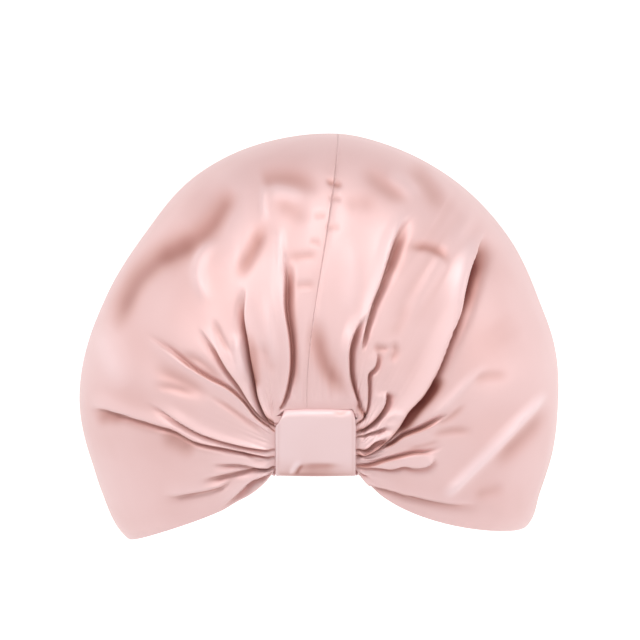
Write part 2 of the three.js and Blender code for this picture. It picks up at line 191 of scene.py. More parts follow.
BAND_TOP = BAND_BOTTOM + BAND_HEIGHT
BAND_TURN = GATHER / 2 + GAP + BAND_THICKNESS
SPINE_TOP = BAND_TOP - BAND_TURN
SPINE_BOTTOM = BAND_BOTTOM + BAND_TURN
LIP_TOP = BAND_TOP + GAP
SLIT_HALF_WIDTH = BAND_WIDTH / 2 + 2 * GAP
SLIT_END = SPINE_TOP + 2 * GAP

# The outline from the front, clockwise from the left corner of the hem: shares of half the width and of
# the height. The last three rows close the round form below the hem.
OUTLINE = [
    (-0.797, 0), (-0.902, 0.114), (-0.943, 0.189), (-0.993, 0.326), (-0.956, 0.487), (-0.881, 0.599),
    (-0.726, 0.749), (-0.505, 0.898), (-0.259, 0.972), (0.083, 1), (0.292, 0.972), (0.538, 0.898),
    (0.789, 0.749), (0.914, 0.599), (0.981, 0.487), (1, 0.326), (0.968, 0.189), (0.927, 0.114),
    (0.872, 0.03), (0.45, -0.085), (0, -0.13), (-0.45, -0.085),
]
SEAM_TOP = OUTLINE[9]

# The fan of cloth from the seam, share 0, to the hem, share 1. Its columns are the share, where the line
# enters the band, the direction in which it leaves, in degrees, and how far round the outline it ends. The
# hem arrives at its corner in a direction of its own.
ENTERS, LEAVE, ENDS = 1, 2, 3
SIDES = {
    "left": {
        "sign": -1,
        "corner": OUTLINE[0],
        "hem_arrive": 209,
        "seed": 11,
        "fan": [
            (0, 0, 92, 0), (0.2, 0.25, 98, 0.11), (0.35, 0.42, 118, 0.2), (0.5, 0.48, 138, 0.36),
            (0.62, 0.53, 148, 0.53), (0.75, 0.7, 166, 0.67), (0.87, 0.84, 180, 0.815), (1, 1, 235, 1),
        ],
    },
    "right": {
        "sign": 1,
        "corner": OUTLINE[18],
        "hem_arrive": 188,
        "seed": 21,
        "fan": [
            (0, 0, 88, 0), (0.2, 0.25, 82, 0.2), (0.35, 0.44, 110, 0.235), (0.5, 0.6, 132, 0.28),
            (0.62, 0.74, 146, 0.345), (0.8, 0.85, 172, 0.66), (0.9, 0.93, 190, 0.84), (1, 1, 235, 1),
        ],
    },
}


# Numbers.
def smooth_step(start, end, value):
    share = np.clip((value - start) / (end - start), 0, 1)
    return share * share * (3 - 2 * share)


def bell(value):
    return np.exp(-value * value)


def mix(a, b, share):
    return a + (b - a) * share


# The round form: how far a place lies from the middle, as a share of the way to the outline.
def polar(x, z):
    across = x / HALF_WIDTH
    up = (z - WIDEST_LEVEL) / HALF_HEIGHT
    return np.arctan2(up, across), np.hypot(across, up)


def rim_table():
    rows = np.array(OUTLINE)
    angle, reach = polar(rows[:, 0] * HALF_WIDTH, rows[:, 1] * HEIGHT)
    order = np.argsort(angle)
    return angle[order], reach[order]


RIM_ANGLE, RIM_REACH = rim_table()
RIM_ANGLES = np.concatenate([RIM_ANGLE - 2 * np.pi, RIM_ANGLE, RIM_ANGLE + 2 * np.pi])
RIM_REACHES = np.tile(RIM_REACH, 3)


def rim_slope(index):
    rise = RIM_REACHES[index + 1] - RIM_REACHES[index - 1]
    return rise / (RIM_ANGLES[index + 1] - RIM_ANGLES[index - 1])


def rim_reach(angle):
    turned = np.arctan2(np.sin(angle), np.cos(angle))
    index = np.searchsorted(RIM_ANGLES, turned, side="right") - 1
    span = RIM_ANGLES[index + 1] - RIM_ANGLES[index]
    t = (turned - RIM_ANGLES[index]) / span
    level = mix(RIM_REACHES[index], RIM_REACHES[index + 1], t * t * (3 - 2 * t))
    leave = rim_slope(index) * span * t * (1 - t) ** 2
    arrive = rim_slope(index + 1) * span * t * t * (1 - t)
    return level + leave - arrive


def rim_share(x, z):
    angle, reach = polar(x, z)
    return reach / rim_reach(angle)


def stand(x, z):
    share = np.minimum(1, rim_share(x, z))
    return (1 - share**ROUNDNESS) ** (1 / ROUNDNESS)


def band_distance(x, z):
    across = np.maximum(0, np.abs(x - BAND_CENTRE) - SLIT_HALF_WIDTH)
    up = np.maximum(np.maximum(0, z - LIP_TOP), BAND_BOTTOM - z)
    return np.hypot(across, up)


def pinch(x, z):
    return PINCH_DEPTH * bell(band_distance(x, z) / PINCH_REACH)


def base_point(x, z, back):
    y = np.where(back, BACK_DEPTH * stand(x, z), pinch(x, z) - FRONT_DEPTH * stand(x, z))
    return np.stack([x, y, z], axis=-1)


def rim_field(x, z):
    return rim_share(x, z) ** ROUNDNESS


def base_normal(x, z, back):
    across = (rim_field(x + NORMAL_STEP, z) - rim_field(x - NORMAL_STEP, z)) / (2 * NORMAL_STEP)
    up = (rim_field(x, z + NORMAL_STEP) - rim_field(x, z - NORMAL_STEP)) / (2 * NORMAL_STEP)
    out = ROUNDNESS * stand(x, z) ** (ROUNDNESS - 1) / np.where(back, BACK_DEPTH, -FRONT_DEPTH)
    normal = np.stack([across, out, up], axis=-1)
    return normal / np.linalg.norm(normal, axis=-1, keepdims=True)


# How much folds may stand out, from 0 at the outline to 1 on the open cloth.
def open_share(x, z):
    return smooth_step(1, RIM_FADE, rim_share(x, z))


# Where a place of the photograph lies on the front of the bonnet, as across and up in the front view.
def on_cloth(places):
    place = np.array(places, float)
    right = (place[:, 0] - TARGET_PLACE[0]) * PIXEL
    over = (TARGET_PLACE[1] - place[:, 1]) * PIXEL
    sine, cosine = math.sin(CAMERA_ELEVATION), math.cos(CAMERA_ELEVATION)
    x, z, y = right, TARGET[2] + over, np.zeros(len(place))
    for _ in range(SIGHT_ROUNDS):
        y = (y - FRONT_DEPTH * stand(x, z)) / 2
        distance = CAMERA_DISTANCE + y * cosine - (z - TARGET[2]) * sine
        x = right * distance / CAMERA_DISTANCE
        z = TARGET[2] + (over * distance / CAMERA_DISTANCE - y * sine) / cosine
    return np.stack([x, z], axis=-1)


# The fan.
def fan_column(side, column, share):
    rows = np.array(SIDES[side]["fan"])
    return np.interp(share, rows[:, 0], rows[:, column])


# How far the top edge of the band has come down at its round corners.
def corner_fall(x):
    starts = np.where(x > BAND_CENTRE, CORNER_STARTS_RIGHT, CORNER_STARTS_LEFT)
    return (LIP_TOP - SLIT_END) * smooth_step(starts, SLIT_HALF_WIDTH, np.abs(x - BAND_CENTRE))


def band_edge(side, enters):
    sign = SIDES[side]["sign"]
    edge = BAND_CENTRE + sign * SLIT_HALF_WIDTH
    lip_x = mix(BAND_CENTRE + SEAM_OFFSET, edge, np.minimum(1, enters / CORNER_ENTERS))
    lip_z = LIP_TOP - corner_fall(lip_x)
    side_z = mix(SLIT_END, SPINE_BOTTOM, np.clip((enters - CORNER_ENTERS) / (1 - CORNER_ENTERS), 0, 1))
    on_lip = enters <= CORNER_ENTERS
    return np.stack([np.where(on_lip, lip_x, edge), np.where(on_lip, lip_z, side_z)], axis=-1)


def outline_angle(place):
    return polar(place[0] * HALF_WIDTH, place[1] * HEIGHT)[0]


def fan_end(side, share):
    top, corner = outline_angle(SEAM_TOP), outline_angle(SIDES[side]["corner"])
    turned = corner + 2 * np.pi if SIDES[side]["sign"] < 0 else corner
    angle = mix(top, turned, fan_column(side, ENDS, share))
    reach = rim_reach(angle)
    x = np.cos(angle) * reach * HALF_WIDTH
    z = WIDEST_LEVEL + np.sin(angle) * reach * HALF_HEIGHT
    return np.stack([x, z], axis=-1)


def mirrored(side, angle):
    turned = np.radians(angle)
    return turned if SIDES[side]["sign"] < 0 else np.pi - turned


def line_arrives(side, share):
    end = fan_end(side, share)
    outward = np.arctan2(end[..., 1] - WIDEST_LEVEL, end[..., 0])
    hem = mirrored(side, SIDES[side]["hem_arrive"])
    turn = np.arctan2(np.sin(hem - outward), np.cos(hem - outward))
    return outward + turn * smooth_step(HEM_FOLLOWS, 1, share)


def heading(angle):
    return np.stack([np.cos(angle), np.sin(angle)], axis=-1)


def bezier(start, leave, arrive, end, t):
    t = np.asarray(t)[:, None, None]
    near = (1 - t) ** 3 * start + 3 * (1 - t) ** 2 * t * leave
    return near + 3 * (1 - t) * t**2 * arrive + t**3 * end


def front_lines(side, share, t):
    start = band_edge(side, fan_column(side, ENTERS, share))
    end = fan_end(side, share)
    length = np.linalg.norm(end - start, axis=-1, keepdims=True)
    leave = start + heading(mirrored(side, fan_column(side, LEAVE, share))) * BAND_STIFFNESS * length
    arrive = end - heading(line_arrives(side, share)) * RIM_STIFFNESS * length
    return bezier(start, leave, arrive, end, t)


def back_lines(side, share, t):
    start = fan_end(side, share)
    nape_x = SIDES[side]["sign"] * NAPE_WIDTH * share / 2
    end = np.stack([nape_x, np.full_like(share, NAPE_HEIGHT)], axis=-1)
    length = np.linalg.norm(end - start, axis=-1, keepdims=True)
    leave = start - heading(line_arrives(side, share)) * RIM_STIFFNESS * length
    reaches = mirrored(side, DOWNWARDS + QUARTER * share**NAPE_TURNING)
    arrive = end - heading(reaches) * NAPE_STIFFNESS * length
    return bezier(start, leave, arrive, end, t)


# Folds. Each follows a smooth line through photo places, from the open cloth towards the band. Depths and
# widths are in millimetres. A crease is low on one side of its line and has a crest on the other.
def smooth_line(places):
    points = on_cloth(places)
    padded = np.vstack([2 * points[0] - points[1], points, 2 * points[-1] - points[-2]])
    line = []
    for a, b, c, d in zip(padded, padded[1:], padded[2:], padded[3:]):
        count = max(2, int(np.linalg.norm(c - b) / LINE_SPACING))
        t = (np.arange(count) / count)[:, None]
        bend = (2 * a - 5 * b + 4 * c - d) * t**2 + (3 * b - a - 3 * c + d) * t**3
        line.append((2 * b + (c - a) * t + bend) / 2)
    return np.vstack(line + [points[-1:]])


# For the points within reach of a line: which they are, how far off, how far along the line, on which side
# of it, and the direction across it.
def nearest(line, points, reach):
    low, high = line.min(axis=0) - reach, line.max(axis=0) + reach
    inside = np.flatnonzero(((points >= low) & (points <= high)).all(axis=1))
    p, runs = points[inside], np.diff(line, axis=0)
    lengths = np.linalg.norm(runs, axis=1)
    best, part = np.full(len(p), np.inf), np.zeros(len(p))
    which = np.zeros(len(p), int)
    for i, run in enumerate(runs):
        t = np.clip(((p - line[i]) @ run) / (lengths[i] ** 2), 0, 1)
        away = p - line[i] - t[:, None] * run
        distance = np.hypot(away[:, 0], away[:, 1])
        closer = distance < best
        best[closer], part[closer], which[closer] = distance[closer], t[closer], i
    before = np.concatenate([[0], np.cumsum(lengths)])
    along = (before[which] + part * lengths[which]) / before[-1]
    run, away = runs[which], p - line[which] - part[:, None] * runs[which]
    side = np.sign(run[:, 0] * away[:, 1] - run[:, 1] * away[:, 0])
    across = np.stack([-run[:, 1], run[:, 0]], axis=-1) / lengths[which, None]
    return inside, best, along, side, across


def ends(along, fade_in, fade_out):
    rise = smooth_step(0, fade_in, along) if fade_in else 1.0
    fall = smooth_step(1, 1 - fade_out, along) if fade_out else 1.0
    return rise * fall


CREASE = {
    "low": "hem", "valley": 1.5, "valley_width": 3.0, "crest": 0.8, "crest_width": 3.0, "sharp": 1.0,
    "lean": 0.5, "line": 0.5, "spread": 1.6, "fade_in": 0.3, "fade_out": 0,
}
DENT = {"depth": 1.5, "width": 5.0, "shade": 0, "fade_in": 0.35, "fade_out": 0.35}
FOLD_SCALE = 2.0
DENT_SCALE = 1.6
FOLD_REACH = 3
NEAR_BAND = 0.5
DEPTH_AT_BAND = 0.7
LEAN_REACH = 1 * MM

# The painted shade line in a crease: its strength, the valley that has all of it, where it starts along the
# crease, how far into the step it lies, and how much broader it starts.
LINE_STRENGTH = 0.75
FULL_LINE_VALLEY = 1.5
LINE_STARTS = (0.05, 0.5)
LINE_PLACE = 0.6
LINE_SPREAD = 1.4

# Creases of the left panel.
LEFT_CREASES = [
    # The long sweep in from the far left, over the next ones.
    {"through": [(141, 334), (167, 351), (187, 367), (208, 380), (227, 390), (242, 403), (257, 421),
        (280, 436)],
     "low": "seam", "valley": 1.2, "valley_width": 1.7, "crest": 0.7, "sharp": 0.6, "spread": 1.4},
    # The next towards the seam.
    {"through": [(198, 326), (216, 348), (227, 367), (240, 385), (253, 406), (266, 420), (280, 431)],
     "valley": 1.6, "valley_width": 1.8, "sharp": 0.6, "spread": 1.5},
    # The sharp fold half way to the seam.
    {"through": [(247, 285), (246, 312), (250, 338), (253, 359), (257, 380), (261, 400), (269, 417),
        (280, 429)],
     "valley": 2.4, "valley_width": 2.4, "crest": 0.9, "crest_width": 2.6, "spread": 1.3, "lean": 0.8,
     "line": 0.8},
    # The fold beside the seam.
    {"through": [(283, 246), (283, 275), (283, 307), (288, 340), (289, 365), (286, 388), (280, 408)],
     "low": "seam", "valley": 2.0, "valley_width": 2.6, "crest": 0.9, "sharp": 1.2, "spread": 1.3,
     "line": 0.6},
    # The level sweep from the left edge, its upper line.
    {"through": [(143, 400), (159, 408), (180, 421), (200, 432), (224, 440), (253, 447), (280, 450)],
     "valley": 1.1, "valley_width": 1.6, "sharp": 0.6, "spread": 1.4},
    # The same sweep, its long lower line.
    {"through": [(88, 408), (101, 407), (122, 413), (148, 421), (174, 429), (195, 440), (226, 447),
        (253, 453), (280, 458)],
     "valley": 1.4, "valley_width": 2.0, "sharp": 0.8, "fade_in": 0.1, "spread": 1.7},
    # A short one beside the band.
    {"through": [(207, 463), (238, 463), (262, 466), (280, 467)],
     "valley": 1.1, "valley_width": 1.6, "crest": 0.5, "sharp": 0.6},
    # The one below it.
    {"through": [(196, 480), (220, 474), (240, 470), (262, 466), (280, 469)],
     "valley_width": 2.2, "crest": 0.4, "sharp": 0.9},
    # A loose one, low on the cloth.
    {"through": [(160, 495), (182, 494), (205, 491), (220, 487), (234, 479)],
     "valley": 1.0, "valley_width": 1.8, "crest": 0.7, "sharp": 0.8, "fade_out": 0.25, "lean": 0},
    # The one along the hem.
    {"through": [(218, 508), (231, 498), (240, 490), (250, 481), (262, 476), (280, 470)],
     "valley": 1.6, "valley_width": 2.0, "crest": 0.9, "sharp": 0.8, "fade_in": 0.35, "lean": 0.2},
]

# Creases of the right panel.
RIGHT_CREASES = [
    # The fold beside the seam, over the corner of the band.
    {"through": [(368, 310), (356, 326), (349, 345), (348, 362), (350, 382), (356, 402), (362, 417)],
     "valley": 1.9, "valley_width": 1.9, "crest": 1.4, "crest_width": 2.6, "sharp": 0.8, "spread": 1.5,
     "line": 0.7},
    # The long fold from the upper right.
    {"through": [(416, 209), (401, 222), (392, 240), (385, 262), (378, 284), (371, 302), (366, 320),
        (362, 338), (361, 354)],
     "valley": 2.0, "valley_width": 2.8, "crest": 1.5, "crest_width": 3.2, "sharp": 1.4, "fade_out": 0.12},
    # The hooked fold under it.
    {"through": [(371, 349), (376, 353), (374, 366), (367, 374), (367, 390), (366, 408), (361, 420),
        (350, 430)],
     "valley_width": 1.4, "crest": 0.4, "sharp": 0.6, "fade_in": 0.2},
    # The deep fold at the corner of the band.
    {"through": [(385, 392), (384, 403), (380, 411), (373, 420), (363, 428), (350, 436)],
     "valley": 2.2, "valley_width": 1.8, "crest": 0.7, "sharp": 0.7, "fade_in": 0.1, "line": 0.9},
    # A short one below it.
    {"through": [(393, 425), (384, 427), (375, 430), (365, 434), (350, 440)],
     "valley": 1.3, "valley_width": 1.2, "crest": 0.5, "sharp": 0.6},
    # The next short one.
    {"through": [(385, 434), (373, 441), (365, 447), (350, 452)],
     "valley": 1.8, "valley_width": 1.2, "crest": 0.5, "sharp": 0.6, "fade_in": 0.2},
    # The deepest fold, from the right of the crown down to the band.
    {"through": [(484, 230), (474, 249), (466, 268), (461, 290), (456, 312), (447, 335), (437, 362),
        (429, 379), (419, 395), (405, 410), (396, 425), (385, 438), (371, 449), (350, 458)],
     "valley": 2.7, "valley_width": 2.5, "crest": 1.5, "crest_width": 3.4, "lean": 1.6, "spread": 2.2,
     "fade_in": 0.12, "line": 1.2},
    # The one just below it.
    {"through": [(452, 413), (440, 422), (428, 429), (415, 434), (404, 438), (394, 445), (383, 450)],
     "low": "seam", "valley": 1.8, "valley_width": 1.8, "crest": 0.6, "sharp": 0.8, "fade_out": 0.1,
     "spread": 1.4, "line": 0.8},
    # A level one.
    {"through": [(447, 447), (430, 455), (415, 456), (404, 458), (388, 462), (370, 466), (350, 467)],
     "low": "seam", "valley": 1.3, "valley_width": 1.6, "crest": 0.6, "sharp": 0.7, "spread": 1.4},
    # The level one under it.
    {"through": [(436, 457), (427, 465), (415, 467), (404, 465), (392, 468), (375, 467), (350, 468)],
     "valley": 1.1, "valley_width": 1.4, "crest": 0.6, "sharp": 0.6, "fade_in": 0.1},
    # The shortest, at the lower corner of the band.
    {"through": [(370, 475), (362, 473), (350, 471)],
     "valley": 0.9, "valley_width": 1.0, "crest": 0.3, "sharp": 0.5},
    # The long one along the hem.
    {"through": [(484, 505), (455, 504), (436, 502), (418, 498), (404, 495), (387, 490), (375, 487),
        (362, 482), (350, 479)],
     "valley": 1.2, "valley_width": 2.2, "crest": 0.3, "sharp": 0.8, "fade_in": 0.25, "spread": 1.3,
     "lean": 0},
]

# Soft dents, and ridges, whose depth and shade are below zero. The shade is painted shade, and painted
# highlight where it is below zero.
DENTS = [
    # The broad slope of the upper left.
    {"through": [(238, 184), (224, 205), (208, 226), (185, 244), (161, 256), (140, 275), (127, 296),
        (117, 320), (109, 335)],
     "depth": 1.0, "shade": 0.42, "fade_in": 0.12, "fade_out": 0.2},
    {"through": [(196, 232), (176, 248), (156, 266)], "depth": 0.5, "width": 7, "shade": 0.12},
    {"through": [(218, 236), (202, 252), (198, 276), (208, 305)], "depth": -0.7, "width": 3, "shade": -0.2},
    {"through": [(266, 218), (254, 246), (244, 266), (236, 284)],
     "depth": 0.8, "width": 3.5, "shade": 0.45},
    {"through": [(264, 180), (263, 202), (265, 224)], "depth": -0.4, "width": 1.6, "shade": -0.2},
    {"through": [(258, 181), (276, 176), (298, 179), (324, 193)],
     "depth": 0.5, "width": 4, "shade": 0.24, "fade_in": 0.15},
    {"through": [(268, 198), (280, 203), (296, 212), (308, 226)], "depth": 0.3, "width": 4, "shade": 0.14},
    {"through": [(262, 192), (282, 191), (306, 199)], "depth": -0.3, "width": 3, "shade": -0.3},
    {"through": [(279, 224), (280, 250), (280, 278)], "depth": -0.5, "width": 2, "shade": -0.25},
    {"through": [(237, 330), (239, 356), (243, 384)], "depth": -0.9, "width": 2.6, "shade": -0.2},
    {"through": [(262, 340), (268, 358), (277, 378)], "depth": 0.6, "width": 3, "shade": 0.12},
    {"through": [(249, 318), (254, 345), (257, 368), (260, 392)],
     "depth": 0.3, "width": 1.6, "shade": 0.5, "fade_in": 0.5, "fade_out": 0.15},
    {"through": [(290, 262), (291, 300), (294, 340), (295, 372), (290, 396)],
     "depth": 0.2, "width": 2.2, "shade": 0.3, "fade_in": 0.2, "fade_out": 0.2},
    {"through": [(148, 368), (180, 380), (214, 399)], "depth": 0.7, "width": 4, "shade": 0.1},
    {"through": [(204, 392), (226, 406), (250, 424), (272, 440)], "depth": 0.5, "width": 1.4, "shade": 0.2},
    {"through": [(150, 386), (170, 388), (196, 396)], "depth": 0.4, "width": 2, "shade": 0.12},
    {"through": [(176, 352), (196, 360), (212, 372), (226, 384)], "depth": 0.5, "width": 2, "shade": 0.15},
    {"through": [(212, 318), (222, 340), (232, 358)], "depth": 0.5, "width": 1.6, "shade": 0.15},
    {"through": [(268, 288), (270, 320), (272, 350), (274, 384)],
     "depth": -0.4, "width": 2.5, "shade": -0.15},
    {"through": [(236, 446), (256, 460), (272, 463)], "depth": 0.3, "width": 0.9, "shade": 0.15},
    {"through": [(158, 432), (178, 443), (198, 454)], "depth": 0.8, "width": 4, "shade": 0.2},
    {"through": [(92, 420), (108, 418), (124, 420)], "depth": 0.6, "width": 3, "shade": 0.2},
    {"through": [(100, 320), (112, 360), (126, 392)], "depth": -0.5, "shade": -0.3},
    # The slopes of the right panel.
    {"through": [(356, 168), (372, 177), (390, 189), (414, 204)], "depth": 0.5, "width": 4, "shade": 0.18},
    {"through": [(404, 160), (420, 174), (432, 192), (446, 214)],
     "depth": 0.6, "width": 4.5, "shade": 0.22},
    {"through": [(386, 170), (404, 184), (420, 200)], "depth": -0.3, "width": 3, "shade": -0.25},
    {"through": [(340, 206), (360, 202), (382, 204)], "depth": 0.2, "width": 4, "shade": 0.15},
    {"through": [(404, 248), (424, 246), (441, 252), (451, 268)], "depth": 0.7, "width": 2.2, "shade": 0.4},
    {"through": [(404, 228), (398, 250), (388, 278)], "depth": 0.3, "width": 4, "shade": 0.25},
    {"through": [(484, 238), (477, 262), (470, 286), (462, 316)], "depth": 0.8, "width": 4, "shade": 0.95},
    {"through": [(474, 236), (460, 262), (455, 290), (450, 316)],
     "depth": -0.3, "width": 2, "shade": -0.35},
    {"through": [(372, 347), (382, 348), (391, 350)], "depth": 0.7, "width": 1.4, "shade": 0.15},
    {"through": [(393, 340), (396, 352), (390, 364)], "depth": 0.8, "width": 1.8, "shade": 0.1},
    {"through": [(492, 363), (475, 374), (455, 395), (436, 415), (426, 430)],
     "depth": -0.7, "width": 2, "shade": -0.2},
    {"through": [(468, 383), (486, 377), (512, 375)], "depth": 0.4, "width": 2.4, "shade": 0.14},
    {"through": [(442, 374), (436, 384), (428, 392)], "depth": 0.5, "width": 3, "shade": 0.4},
    {"through": [(445, 376), (431, 394), (417, 410), (405, 425), (395, 438)],
     "depth": 0.9, "width": 2.4, "shade": 1.6, "fade_out": 0.3},
    {"through": [(476, 431), (452, 431), (426, 436)], "depth": 0.6, "width": 2, "shade": 0.15},
    {"through": [(494, 316), (504, 332), (512, 348)], "depth": 0.2, "width": 8, "shade": 0.05},
    {"through": [(548, 390), (530, 410), (505, 437), (485, 457), (465, 477), (441, 500)],
     "depth": -1.2, "width": 2.4, "shade": -0.95, "fade_in": 0.15, "fade_out": 0.15},
    {"through": [(552, 402), (532, 430), (510, 452), (490, 470)], "depth": 0.8, "width": 4, "shade": 0.2},
    {"through": [(508, 487), (490, 492), (470, 498)], "depth": 0.5, "width": 3, "shade": 0.1},
    {"through": [(468, 402), (450, 418), (430, 430)], "depth": 0.5, "width": 1.4, "shade": 0.2},
    {"through": [(444, 440), (424, 446), (404, 450)], "depth": 0.4, "width": 1.2, "shade": 0.15},
    {"through": [(384, 420), (394, 415), (404, 412)], "depth": -0.4, "width": 1.4, "shade": -0.1},
    {"through": [(410, 300), (400, 326), (388, 340)], "depth": 0.25, "width": 3, "shade": 0.08},
    {"through": [(344, 236), (352, 262), (350, 292), (344, 322)],
     "depth": -0.4, "width": 4, "shade": -0.12},
    # Beside the seam.
    {"through": [(318, 312), (318, 338), (324, 362), (337, 384), (346, 404)],
     "depth": 1.0, "width": 4, "shade": 0.4},
    {"through": [(286, 255), (302, 256), (320, 254)], "depth": 0.35, "width": 2.0, "shade": 0.2},
    {"through": [(292, 286), (306, 285), (318, 284)], "depth": 0.35, "width": 2.0, "shade": 0.15},
    {"through": [(324, 180), (333, 182), (344, 187)], "depth": 0.6, "width": 1.4, "shade": 0.4},
    {"through": [(327, 200), (334, 197), (343, 201)], "depth": 0.4, "width": 1.2, "shade": 0.15},
    {"through": [(312, 217), (320, 214), (328, 215)], "depth": 0.3, "width": 1.3, "shade": 0.12},
    {"through": [(324, 229), (332, 226), (342, 230)], "depth": 0.4, "width": 1.2, "shade": 0.12},
    {"through": [(322, 241), (316, 243), (308, 241)], "depth": 0.3, "width": 1.4, "shade": 0.1},
]


# The form across a crease: a crest on its high side, then a step down into the valley.
def crease_form(fold, into, width, sharp):
    crest = fold["crest"] * MM * bell(np.minimum(0, into) / (fold["crest_width"] * width))
    sunk = -fold["valley"] * MM * bell(np.maximum(0, into - sharp) / (fold["valley_width"] * width))
    return np.where(into < 0, crest, mix(crest, sunk, smooth_step(0, 1, into / sharp)))


# The painted shade line at the foot of a crease.
def crease_line(fold, into, along, sharp):
    strength = LINE_STRENGTH * min(1.0, fold["valley"] / FULL_LINE_VALLEY)
    broad = fold["line"] * MM * mix(LINE_SPREAD, 1, along)
    return strength * smooth_step(*LINE_STARTS, along) * bell((into - LINE_PLACE * sharp) / broad)


def crease_relief(row, sign, points, height, shift, dark):
    fold = {**CREASE, **row}
    reach = FOLD_REACH * MM * max(fold["valley_width"], fold["crest_width"]) * fold["spread"]
    inside, distance, along, side, across = nearest(smooth_line(fold["through"]), points, reach)
    low = sign if fold["low"] == "hem" else -sign
    into = distance * side * low
    width = MM * mix(fold["spread"], NEAR_BAND, along)
    sharp = fold["sharp"] * width
    amount = ends(along, fold["fade_in"], fold["fade_out"])
    depth = FOLD_SCALE * mix(1, DEPTH_AT_BAND, along) * amount
    height[inside] += depth * crease_form(fold, into, width, sharp)
    dark[inside] += amount * crease_line(fold, into, along, sharp)
    pushed = fold["lean"] * MM * bell((into + sharp / 2) / (sharp + LEAN_REACH)) * amount
    shift[inside] += (pushed * low)[:, None] * across


def dent_relief(row, points, height, dark):
    fold = {**DENT, **row}
    reach = FOLD_REACH * MM * fold["width"]
    inside, distance, along, _, _ = nearest(smooth_line(fold["through"]), points, reach)
    form = ends(along, fold["fade_in"], fold["fade_out"]) * bell(distance / (fold["width"] * MM))
    height[inside] -= DENT_SCALE * fold["depth"] * MM * form
    # The dent's painted shade, or painted highlight where its shade is below zero.
    dark[inside] += fold["shade"] * form


def seam_line():
    t = np.linspace(0, 1, SEAM_STEPS)
    return front_lines("left", np.zeros(1), t)[:, 0]


SEAM_LINE = seam_line()


# All the folds of the charts and the groove of the seam, at each point, with the painted shade of the
# folds.
def charted(points):
    height, dark = np.zeros(len(points)), np.zeros(len(points))
    shift = np.zeros((len(points), 2))
    for sign, rows in ((-1, LEFT_CREASES), (1, RIGHT_CREASES)):
        for row in rows:
            crease_relief(row, sign, points, height, shift, dark)
    for row in DENTS:
        dent_relief(row, points, height, dark)
    inside, distance, _, _, _ = nearest(SEAM_LINE, points, SEAM_REACH * SEAM_GROOVE_WIDTH)
    height[inside] -= SEAM_GROOVE * bell(distance / SEAM_GROOVE_WIDTH)
    return height, shift, np.clip(dark, -1, 1)


# The height of the folds over the round form, how far they lean aside, and their painted shade.
def relief(x, z):
    points = np.stack([x.ravel(), z.ravel()], axis=-1)
    height, shift, dark = charted(points)
    away = band_distance(points[:, 0], points[:, 1])
    height += BULGE * bell(away / BULGE_REACH)
    height *= mix(BESIDE_SHARE, 1, smooth_step(0, BESIDE_RISE, away))
    calm = open_share(points[:, 0], points[:, 1])
    height *= calm
    shift *= (calm * smooth_step(*SHIFT_STARTS, away))[:, None]
    return height.reshape(x.shape), shift.reshape(x.shape + (2,)), dark.reshape(x.shape)


# Waves across the fan, from 0 at the seam to 1 at the hem, that drift a little along it.
def fan_waves(share, t, waves, seed, power):
    chance = np.random.default_rng(seed)
    total = np.zeros((len(t), len(share)))
    for wave in waves:
        start = chance.uniform(0, 1)
        drift = chance.uniform(-WAVE_DRIFT, WAVE_DRIFT)
        size = chance.uniform(WAVE_SMALLEST, 1)
        turn = np.pi * (wave * share[None] + start + drift * t[:, None])
        total += size * (WAVE_LEVEL - WAVE_SWING * np.abs(np.sin(turn)) ** power)
    edges = smooth_step(0, WAVE_EDGE, share) * smooth_step(1, 1 - WAVE_EDGE, share)
    return -total * edges[None] / math.sqrt(len(waves))


def front_pleats(side, share, t):
    seed = SIDES[side]["seed"]
    fine = fan_waves(share, t, PLEAT_WAVES, seed + PLEAT_SEED, CRISP)
    loose = fan_waves(share, t, LOOSE_WAVES, seed + LOOSE_SEED, SOFT)
    gather = smooth_step(*PLEAT_STARTS, t) * np.exp(-PLEAT_DECAY * t)
    away = smooth_step(*LOOSE_STARTS, t) * smooth_step(*LOOSE_ENDS, t)
    return PLEAT * fine * gather[:, None] + LOOSE_FOLD * loose * away[:, None]


def back_folds(side, share, t):
    seed = SIDES[side]["seed"]
    loose = fan_waves(share, t, BACK_WAVES, seed + BACK_SEED, SOFT)
    nape = fan_waves(share, t, NAPE_WAVES, seed + NAPE_SEED, CRISP)
    open_back = smooth_step(*BACK_STARTS, t) * smooth_step(*BACK_ENDS, t)
    gather = smooth_step(*NAPE_STARTS, t)
    return BACK_FOLD * loose * open_back[:, None] + NAPE_PLEAT * nape * gather[:, None]


def fan_places(side, share, t, lines):
    places = lines(side, share, t)
    places[:, 0, 0] += SIDES[side]["sign"] * SEAM_GAP
    return places[..., 0], places[..., 1]


def raised(x, z, back, height):
    normal = base_normal(x, z, back)
    return base_point(x, z, back) + normal * height[..., None], normal


# The front and the back of a panel, each as its points, normals, heights and painted shades.
def front_surface(side, share):
    t = np.sin(np.pi / 2 * (np.arange(FRONT_STEPS + 1) / FRONT_STEPS) ** FRONT_CROWDING)
    x, z = fan_places(side, share, t, front_lines)
    height, shift, dark = relief(x, z)
    height += front_pleats(side, share, t) * open_share(x, z)
    points, normals = raised(x, z, False, height)
    points[..., ::2] += shift
    return points, normals, height, dark


def back_surface(side, share):
    t = 1 - np.cos(np.pi / 2 * np.arange(1, BACK_STEPS + 1) / BACK_STEPS)
    x, z = fan_places(side, share, t, back_lines)
    groove = SEAM_GROOVE * bell((x - x[:, :1]) / SEAM_GROOVE_WIDTH)
    height = back_folds(side, share, t) - groove * smooth_step(*BACK_GROOVE_STARTS, t)[:, None]
    points, normals = raised(x, z, True, height)
    return points, normals, height, np.zeros_like(height)


# Inside the band the gathered cloth runs on to the middle.
def inner_cloth(side, share, height, edge):
    seam_x = BAND_CENTRE + SEAM_OFFSET + SIDES[side]["sign"] * GAP / 2
    x, z = band_edge(side, fan_column(side, ENTERS, share)).T
    rows = []
    for t in np.arange(INNER_STEPS) / INNER_STEPS:
        rows.append(raised(mix(seam_x, x, t), z, False, t**INNER_FADE * height)[0])
    return np.stack(rows + [edge])


